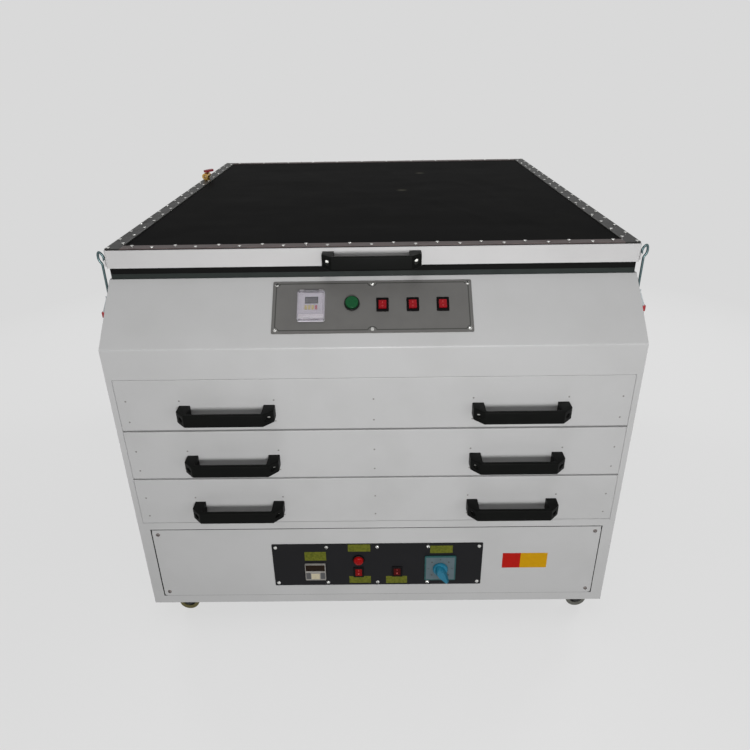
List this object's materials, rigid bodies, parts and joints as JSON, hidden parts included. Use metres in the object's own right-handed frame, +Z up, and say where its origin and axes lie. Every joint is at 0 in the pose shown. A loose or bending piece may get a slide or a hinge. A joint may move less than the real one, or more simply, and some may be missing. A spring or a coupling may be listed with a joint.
{
  "type": "screen printing exposure unit",
  "caption": "Vacuum exposure table for printing screens: hinged rubber-blanket lid over lit glass, sloping console, drying drawers below, on casters.",
  "frame": {"origin": "on the floor, under the middle of the unit's outer box", "axes": "+X to the right as seen from the front, +Y to the rear, +Z up"},
  "size_m": [1.159, 1.377, 0.9611],
  "materials": {
    "white_powder_coat": "satin powder coat",
    "grey_frame_paint": "satin",
    "galvanised_sheet": "satin",
    "tray_steel": "satin",
    "black_rubber": "matt",
    "rim_trim": "matt",
    "float_glass": "polished",
    "lamp_glass": "coated",
    "reflector": "bright",
    "dark_bar": "satin",
    "screw_steel": "bright",
    "handle_black": "satin",
    "console_grey": "satin",
    "plate_black": "satin",
    "device_black": "satin",
    "timer_white": "satin",
    "controller_grey": "satin",
    "clear_plastic": "clear",
    "key_yellow": "satin",
    "rocker_red": "gloss",
    "button_green": "gloss",
    "knob_blue": "gloss",
    "brass": "polished",
    "lever_red": "satin",
    "zinc_plate": "satin",
    "wheel_rubber": "matt",
    "pump_enamel": "cast",
    "ballast_enamel": "satin",
    "fan_steel": "satin",
    "gland_black": "satin"
  },
  "bodies": {
    "cabinet": {"cabinet_frame": "grey_frame_paint", "casing_panels": "white_powder_coat", "base_pan": "white_powder_coat", "chamber_liner": "galvanised_sheet", "front_cover": "white_powder_coat", "glass_rim": "rim_trim", "exposure_glass": "float_glass", "lamp_tray": "reflector", "uv_tubes": "lamp_glass", "ballasts": "ballast_enamel", "vacuum_pump": "pump_enamel", "control_panel": "console_grey", "access_panel": "white_powder_coat", "dryer_plate": "plate_black", "panel_screws": "screw_steel", "exposure_timer": "timer_white", "panel_bezels": "device_black", "temperature_controller": "controller_grey", "hot_air_unit": "fan_steel", "cable_gland": "gland_black", "caster_mountings": "galvanised_sheet", "cabinet_lid_brackets": "galvanised_sheet"},
    "lid": {"lid_frame": "white_powder_coat", "rubber_blanket": "black_rubber", "clamp_bars": "dark_bar", "clamp_screws": "screw_steel", "lid_seal": "black_rubber", "lid_handle": "handle_black", "lid_hinge_leaves": "galvanised_sheet", "valve_body": "brass"},
    "valve_lever": {"valve_lever": "lever_red"},
    "start_button": {"start_button": "button_green"},
    "timer_keys": {"timer_keys": "key_yellow"},
    "timer_hood": {"timer_hood": "clear_plastic"},
    "isolator_knob": {"isolator_knob": "knob_blue"},
    "fan_impeller": {"fan_impeller": "fan_steel"},
    "vacuum_rocker": {"vacuum_rocker": "rocker_red"},
    "exposure_rocker": {"exposure_rocker": "rocker_red"},
    "view_light_rocker": {"view_light_rocker": "rocker_red"},
    "heater_rocker": {"heater_rocker": "rocker_red"},
    "fan_rocker": {"fan_rocker": "rocker_red"},
    "left_latch_lever": {"left_latch_lever": "zinc_plate"},
    "right_latch_lever": {"right_latch_lever": "zinc_plate"},
    "left_latch_hook": {"left_latch_hook": "zinc_plate"},
    "right_latch_hook": {"right_latch_hook": "zinc_plate"},
    "front_left_caster_fork": {"front_left_caster_fork": "galvanised_sheet"},
    "front_right_caster_fork": {"front_right_caster_fork": "galvanised_sheet"},
    "front_left_wheel": {"front_left_wheel": "wheel_rubber"},
    "front_right_wheel": {"front_right_wheel": "wheel_rubber"},
    "rear_left_wheel": {"rear_left_wheel": "wheel_rubber"},
    "rear_right_wheel": {"rear_right_wheel": "wheel_rubber"},
    "drawer_1": {"drawer_1_front": "white_powder_coat", "drawer_1_tray": "tray_steel", "drawer_1_handles": "handle_black"},
    "drawer_2": {"drawer_2_front": "white_powder_coat", "drawer_2_tray": "tray_steel", "drawer_2_handles": "handle_black"},
    "drawer_3": {"drawer_3_front": "white_powder_coat", "drawer_3_tray": "tray_steel", "drawer_3_handles": "handle_black"}
  },
  "joints": [
    {"name": "lid_hinge", "type": "hinge", "parent": "cabinet", "child": "lid", "pos_m": [0, 0.6695, 0.8847], "axis": [-1, 0, 0], "range_deg": [0, 65]},
    {"name": "air_valve_turn", "type": "hinge", "parent": "lid", "child": "valve_lever", "pos_m": [-0.534, 0.2985, 0.9551], "axis": [0, 0, 1], "range_deg": [-60, 30]},
    {"name": "start_press", "type": "slide", "parent": "cabinet", "child": "start_button", "axis": [0, 0.685, -0.7286], "range_m": [0, 0.003], "stiffness_N_per_m": 400, "springref_m": -0.001},
    {"name": "timer_key_press", "type": "slide", "parent": "cabinet", "child": "timer_keys", "axis": [0, 0.685, -0.7286], "range_m": [0, 0.001], "stiffness_N_per_m": 300, "springref_m": -0.001},
    {"name": "timer_hood_lift", "type": "hinge", "parent": "cabinet", "child": "timer_hood", "pos_m": [-0.125, -0.55534, 0.84574], "axis": [-1, 0, 0], "range_deg": [0, 110]},
    {"name": "isolator_turn", "type": "hinge", "parent": "cabinet", "child": "isolator_knob", "pos_m": [0.152, -0.647, 0.18], "axis": [0, -1, 0], "range_deg": [0, 150]},
    {"name": "fan_spin", "type": "hinge", "parent": "cabinet", "child": "fan_impeller", "pos_m": [0, 0.448, 0.49], "axis": [0, 1, 0], "continuous": true},
    {"name": "vacuum_rocker_tilt", "type": "hinge", "parent": "cabinet", "child": "vacuum_rocker", "pos_m": [0.0209, -0.57574, 0.8197], "axis": [1, 0, 0], "range_deg": [0, 16]},
    {"name": "exposure_rocker_tilt", "type": "hinge", "parent": "cabinet", "child": "exposure_rocker", "pos_m": [0.0829, -0.57574, 0.8197], "axis": [1, 0, 0], "range_deg": [0, 16]},
    {"name": "view_light_rocker_tilt", "type": "hinge", "parent": "cabinet", "child": "view_light_rocker", "pos_m": [0.1443, -0.57574, 0.8197], "axis": [1, 0, 0], "range_deg": [0, 16]},
    {"name": "heater_rocker_tilt", "type": "hinge", "parent": "cabinet", "child": "heater_rocker", "pos_m": [-0.0429, -0.645, 0.168], "axis": [1, 0, 0], "range_deg": [0, 16]},
    {"name": "fan_rocker_tilt", "type": "hinge", "parent": "cabinet", "child": "fan_rocker", "pos_m": [0.0492, -0.645, 0.169], "axis": [1, 0, 0], "range_deg": [0, 16]},
    {"name": "drawer_1_slide", "type": "slide", "parent": "cabinet", "child": "drawer_1", "axis": [0, -1, 0], "range_m": [0, 0.6]},
    {"name": "drawer_2_slide", "type": "slide", "parent": "cabinet", "child": "drawer_2", "axis": [0, -1, 0], "range_m": [0, 0.6]},
    {"name": "drawer_3_slide", "type": "slide", "parent": "cabinet", "child": "drawer_3", "axis": [0, -1, 0], "range_m": [0, 0.6]},
    {"name": "left_latch_lever_turn", "type": "hinge", "parent": "cabinet", "child": "left_latch_lever", "pos_m": [-0.558, -0.5215, 0.827], "axis": [0, 1, 0], "range_deg": [0, 100]},
    {"name": "left_latch_hook_turn", "type": "hinge", "parent": "left_latch_lever", "child": "left_latch_hook", "pos_m": [-0.56, -0.5215, 0.815], "axis": [0, 1, 0], "range_deg": [-100, 0]},
    {"name": "right_latch_lever_turn", "type": "hinge", "parent": "cabinet", "child": "right_latch_lever", "pos_m": [0.558, -0.5215, 0.827], "axis": [0, -1, 0], "range_deg": [0, 100]},
    {"name": "right_latch_hook_turn", "type": "hinge", "parent": "right_latch_lever", "child": "right_latch_hook", "pos_m": [0.56, -0.5215, 0.815], "axis": [0, -1, 0], "range_deg": [-100, 0]},
    {"name": "front_left_swivel", "type": "hinge", "parent": "cabinet", "child": "front_left_caster_fork", "pos_m": [-0.497, -0.5875, 0.0587], "axis": [0, 0, 1], "continuous": true},
    {"name": "front_right_swivel", "type": "hinge", "parent": "cabinet", "child": "front_right_caster_fork", "pos_m": [0.497, -0.5875, 0.0587], "axis": [0, 0, 1], "continuous": true},
    {"name": "front_left_roll", "type": "hinge", "parent": "front_left_caster_fork", "child": "front_left_wheel", "pos_m": [-0.485, -0.5875, 0.025], "axis": [0, 1, 0], "continuous": true},
    {"name": "front_right_roll", "type": "hinge", "parent": "front_right_caster_fork", "child": "front_right_wheel", "pos_m": [0.509, -0.5875, 0.025], "axis": [0, 1, 0], "continuous": true},
    {"name": "rear_left_roll", "type": "hinge", "parent": "cabinet", "child": "rear_left_wheel", "pos_m": [-0.497, 0.6045, 0.025], "axis": [1, 0, 0], "continuous": true},
    {"name": "rear_right_roll", "type": "hinge", "parent": "cabinet", "child": "rear_right_wheel", "pos_m": [0.497, 0.6045, 0.025], "axis": [1, 0, 0], "continuous": true}
  ],
  "couplings": [
    {"joint": "left_latch_hook_turn", "follows": "left_latch_lever_turn", "ratio": -1},
    {"joint": "right_latch_hook_turn", "follows": "right_latch_lever_turn", "ratio": -1}
  ]
}
